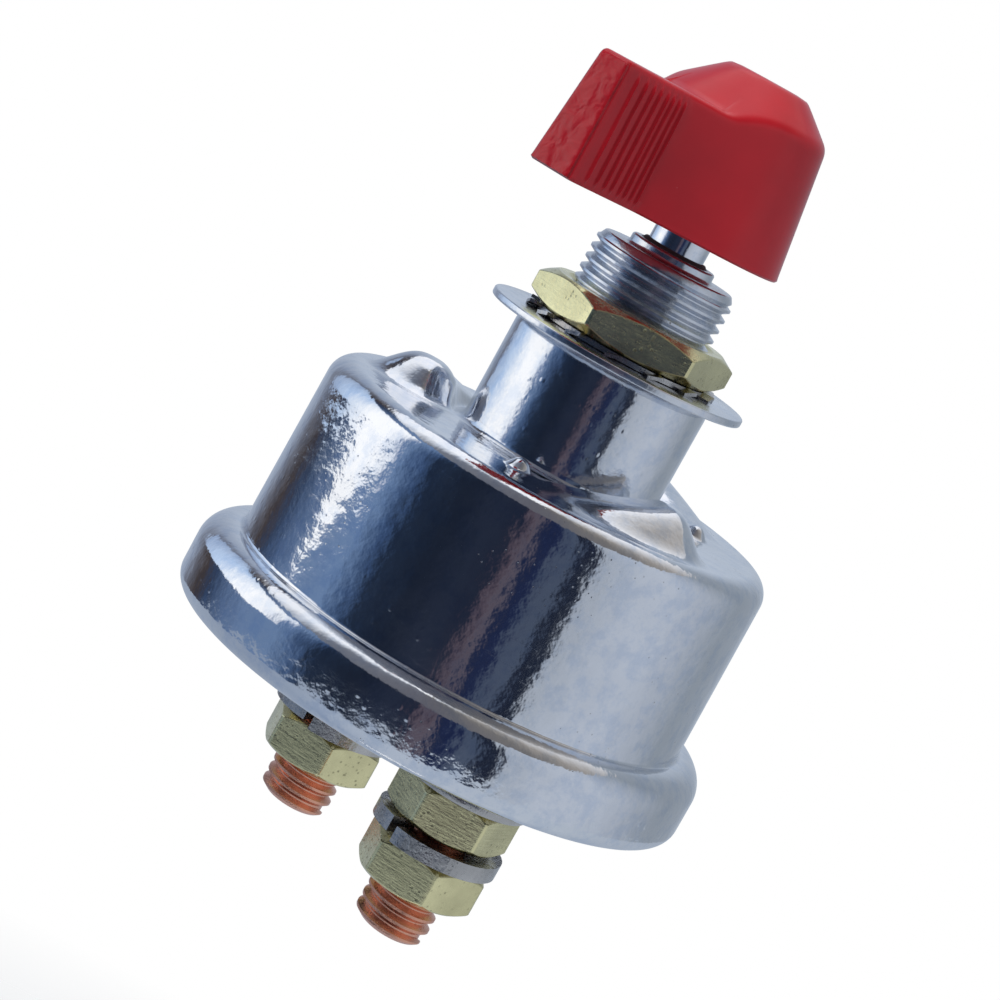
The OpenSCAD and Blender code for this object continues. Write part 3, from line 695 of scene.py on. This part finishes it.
class SWITCH_OT_materials(bpy.types.Operator):
    """Makes every finish of the switch"""
    bl_idname = "switch.materials"
    bl_label = "Finishes"

    def execute(self, context):
        own = context.scene.switch_looks
        plate, zinc, paint, copper = tuple(own.plate), tuple(own.zinc), tuple(own.paint), tuple(own.copper)
        LOOKS["shell"] = bright_zinc("shell_bright_zinc", plate)
        LOOKS["stem"] = bright_zinc("stem_bright_zinc", tuple(c * 0.9 for c in plate), 1.2, 1.6, 0.2)
        LOOKS["washer"] = bright_zinc("washer_bright_zinc", plate, 1.2, 1.8, 0.18)
        LOOKS["shaft"] = bright_zinc("shaft_bright_zinc", plate, 0.3, 0.4, 0.10)
        LOOKS["nut"] = yellow_zinc("nut_yellow_zinc", zinc, tuple(c * 0.72 for c in zinc))
        LOOKS["steel"] = plain_metal("washer_steel", (0.60, 0.58, 0.56), 0.18)
        LOOKS["copper"] = plain_metal("stud_copper", copper, 0.20)
        LOOKS["rivet"] = plain_metal("rivet_brass", (0.80, 0.66, 0.34), 0.25)
        LOOKS["dark"] = plain_metal("screw_black_steel", (0.12, 0.12, 0.13), 0.35)
        LOOKS["knob"] = red_enamel("knob_red_enamel", paint, tuple(c * 0.8 for c in paint))
        # Near-black seal colour: painted shade, a dark ring standing for the shade at the shaft's foot.
        LOOKS["seal_shade_ring"] = moulded("seal_rubber", (0.05, 0.05, 0.053), 0.5)
        LOOKS["base"] = moulded("base_black_moulding", (0.022, 0.020, 0.019), 0.42)
        LOOKS["board"] = moulded("gasket_board", (0.10, 0.075, 0.05), 0.7)
        LOOKS["carrier"] = moulded("carrier_brown_moulding", (0.16, 0.06, 0.03), 0.45)
        return {"FINISHED"}


# Camera of the photograph: place, and the way it looks, in the row frame.
CAMERA_AT = (0.0, -352.1, 35.1)
YAW, PITCH_DOWN, ROLL, PHOTO_TURN = -0.0116, 0.1620, math.radians(0.934), math.radians(28)
FOCAL_SHARE = 2.860


def camera_matrix():
    ahead = Vector((math.sin(YAW) * math.cos(PITCH_DOWN), math.cos(YAW) * math.cos(PITCH_DOWN),
                    -math.sin(PITCH_DOWN)))
    right = Vector((math.cos(YAW), -math.sin(YAW), 0))
    up = right.cross(ahead)
    for turn in (ROLL, PHOTO_TURN):
        right, up = right * math.cos(turn) + up * math.sin(turn), up * math.cos(turn) - right * math.sin(turn)
    turn = Matrix((right, up, -ahead)).transposed().to_4x4()
    return Matrix.Translation(Vector(CAMERA_AT) * MM) @ turn


def shade(red, green, blue):
    """A colour as it is seen on screen, from 0 to 255, turned into scene light."""
    return tuple((c / 255 / 12.92) if c < 11 else ((c / 255 + 0.055) / 1.055) ** 2.4
                 for c in (red, green, blue))


# Bearing of the window's hanging tip and half its width, in degrees.
PANE_AT, PANE_HALF = -83, 9


def card(name, low, high, radius, stops, flat=False, point=0):
    """Studio card that only gloss mirrors, coloured by bearing; point hangs a tip below its lower edge."""
    steps = 72
    start, end = stops[0][0], stops[-1][0]
    verts, faces = [], []
    for i in range(steps + 1):
        a = math.radians(-90 + start + (end - start) * i / steps)
        bearing = start + (end - start) * i / steps
        lower = low - (point * max(0, 1 - abs(bearing - PANE_AT) / PANE_HALF) if point else 0)
        for r, z in ((radius, lower), (0.03 if flat else radius, lower if flat else high)):
            verts.append((r * math.cos(a), r * math.sin(a), z))
        if i:
            faces.append((2 * i - 2, 2 * i, 2 * i + 1, 2 * i - 1))
    mesh = bpy.data.meshes.new(name)
    mesh.from_pydata(verts, [], faces)
    look = Look(name)
    around = look.make("ShaderNodeTexGradient", {"gradient_type": "RADIAL"},
                       {"Vector": look.place(rotation=(0, 0, math.pi / 2))}, out="Fac")
    colour = look.ramp(around, *(((b + 180) / 360, shade(*tint)) for b, tint in stops))
    glow = look.tree.nodes.new("ShaderNodeEmission")
    look.feed(glow.inputs["Color"], colour)
    glow.inputs["Strength"].default_value = 1.22
    look.tree.links.new(glow.outputs[0], look.tree.nodes["Material Output"].inputs[0])
    look.tree.nodes.remove(look.shader)
    mesh.materials.append(look.material)
    piece = bpy.data.objects.new(name, mesh)
    bpy.context.scene.collection.objects.link(piece)
    piece.visible_camera = piece.visible_diffuse = piece.visible_shadow = False


# What the plating mirrors, by bearing: nought is the camera's side, plus is to its right.
ROOM = ((-180, (176, 186, 200)), (-150, (140, 150, 168)), (-138, (96, 98, 108)), (-126, (62, 54, 52)),
        (-114, (48, 62, 86)), (-100, (80, 100, 132)), (-86, (100, 122, 155)), (-66, (104, 128, 162)),
        (-55, (60, 80, 112)), (-47, (31, 42, 60)), (-29, (25, 32, 46)), (-13, (34, 41, 57)), (-3, (30, 36, 52)),
        (1, (76, 66, 76)), (6, (88, 82, 92)), (9, (30, 38, 62)), (15, (27, 36, 66)), (19, (66, 75, 93)),
        (26, (70, 80, 98)), (30, (26, 32, 48)), (36, (28, 34, 48)), (38.5, (158, 165, 175)), (60, (172, 179, 190)),
        (80, (176, 183, 194)), (100, (163, 170, 181)), (126, (136, 144, 153)), (150, (142, 150, 160)),
        (180, (176, 186, 200)))
WINDOW = ((-134, (150, 165, 190)), (-114, (182, 202, 228)), (-98, (235, 240, 246)), (-90, (255, 255, 255)),
          (-76, (255, 255, 255)), (-69, (236, 240, 246)), (-64, (120, 135, 165)))
CEILING = ((-180, (250, 250, 254)), (-115, (240, 242, 246)), (-90, (190, 194, 202)), (-70, (112, 116, 126)),
           (0, (92, 92, 100)), (60, (112, 109, 107)), (100, (150, 145, 140)), (150, (210, 210, 212)),
           (180, (250, 250, 254)))
GROUND = ((-180, (150, 160, 175)), (-60, (140, 152, 170)), (0, (166, 175, 188)), (90, (172, 180, 190)),
          (180, (150, 160, 175)))


def lamp(name, place, power, size, colour=(1, 1, 1)):
    data = bpy.data.lights.new(name, "AREA")
    data.energy, data.size, data.color = power, size, colour
    light = bpy.data.objects.new(name, data)
    light.location = place
    light.rotation_euler = (Vector((0, 0, -0.02)) - Vector(place)).to_track_quat("-Z", "Y").to_euler()
    light.visible_glossy = False
    bpy.context.scene.collection.objects.link(light)


class SWITCH_OT_stage(bpy.types.Operator):
    """White studio, lamps, cards and the photograph's camera"""
    bl_idname = "switch.stage"
    bl_label = "Stage"

    def execute(self, context):
        own, scene = context.scene.switch_looks, context.scene
        world = bpy.data.worlds.new("studio")
        scene.world = world
        world.use_nodes = True
        tree = world.node_tree
        ground = tree.nodes["Background"]
        ground.inputs["Color"].default_value = (0.86, 0.92, 1.0, 1)
        ground.inputs["Strength"].default_value = 0.36
        white = tree.nodes.new("ShaderNodeBackground")
        white.inputs["Color"].default_value, white.inputs["Strength"].default_value = (1, 1, 1, 1), 1.0
        path, pick = tree.nodes.new("ShaderNodeLightPath"), tree.nodes.new("ShaderNodeMixShader")
        seen = []
        for ray in ("Is Camera Ray", "Is Glossy Ray", "Is Transmission Ray"):
            seen.append(path.outputs[ray])
        total = seen[0]
        for other in seen[1:]:
            both = tree.nodes.new("ShaderNodeMath")
            both.operation = "MAXIMUM"
            tree.links.new(total, both.inputs[0])
            tree.links.new(other, both.inputs[1])
            total = both.outputs[0]
        tree.links.new(total, pick.inputs[0])
        tree.links.new(ground.outputs[0], pick.inputs[1])
        tree.links.new(white.outputs[0], pick.inputs[2])
        tree.links.new(pick.outputs[0], tree.nodes["World Output"].inputs[0])

        bottom = STUD_END * MM - own.floor_drop
        mesh = bpy.data.meshes.new("floor")
        rim = [math.radians(i * 5) for i in range(72)]
        mesh.from_pydata([(0.5 * math.cos(a), 0.5 * math.sin(a), bottom) for a in rim], [],
                         [tuple(range(len(rim)))])
        look = Look("floor_white")
        x, y, _ = look.split(look.make("ShaderNodeTexCoord", out="Object"))
        fade = look.span((x * x + y * y) ** 0.5, 0.28, 0.48, 1, 0)
        mesh.materials.append(look.finish(Base_Color=(0.93, 0.94, 0.96), Roughness=0.9, Alpha=fade,
                                          Specular_IOR_Level=0.0))
        floor = bpy.data.objects.new("floor", mesh)
        scene.collection.objects.link(floor)

        card("card_room", -0.6, 1.0, 0.8, ROOM)
        card("card_window", -0.049, 0.14, 0.24, WINDOW, point=0.020)
        card("card_ceiling", 0.75, 0, 0.79, CEILING, flat=True)
        card("card_ground", bottom + 0.002, 0, 0.79, GROUND, flat=True)

        lamp("key_left", (-0.55, -0.45, 0.55), own.lamp_power * 1.35, 0.35)
        lamp("fill_right", (0.65, -0.30, 0.35), own.lamp_power * 0.4, 0.45)
        lamp("top", (0.05, 0.10, 0.80), own.lamp_power * 1.2, 0.5)

        lens = bpy.data.cameras.new("photo_camera")
        lens.sensor_width, lens.lens = 36.0, 36.0 * FOCAL_SHARE
        lens.clip_start, lens.clip_end = 0.01, 50
        eye = bpy.data.objects.new("photo_camera", lens)
        eye.matrix_world = camera_matrix()
        scene.collection.objects.link(eye)
        scene.camera = eye
        scene.view_settings.view_transform = "Standard"
        return {"FINISHED"}


OPERATORS = (SWITCH_OT_materials, SWITCH_OT_housing, SWITCH_OT_stem, SWITCH_OT_panel_hardware,
             SWITCH_OT_knob, SWITCH_OT_terminals, SWITCH_OT_construction_looks, SWITCH_OT_stage)


class SWITCH_PT_panel(bpy.types.Panel):
    """Buttons that make the switch's pieces"""
    bl_label = "Battery disconnect switch"
    bl_idname = "SWITCH_PT_panel"
    bl_space_type = "VIEW_3D"
    bl_region_type = "UI"
    bl_category = "Switch"

    def draw(self, context):
        for name in SwitchLooks.__annotations__:
            self.layout.prop(context.scene.switch_looks, name)
        for operator in OPERATORS:
            self.layout.operator(operator.bl_idname)


CLASSES = (SwitchLooks, *OPERATORS, SWITCH_PT_panel)


def register():
    for item in CLASSES:
        bpy.utils.register_class(item)
    bpy.types.Scene.switch_looks = PointerProperty(type=SwitchLooks)


def unregister():
    del bpy.types.Scene.switch_looks
    for item in reversed(CLASSES):
        bpy.utils.unregister_class(item)


def main():
    register()
    for operator in OPERATORS:
        group, name = operator.bl_idname.split(".")
        getattr(getattr(bpy.ops, group), name)()


if __name__ == "__main__":
    main()
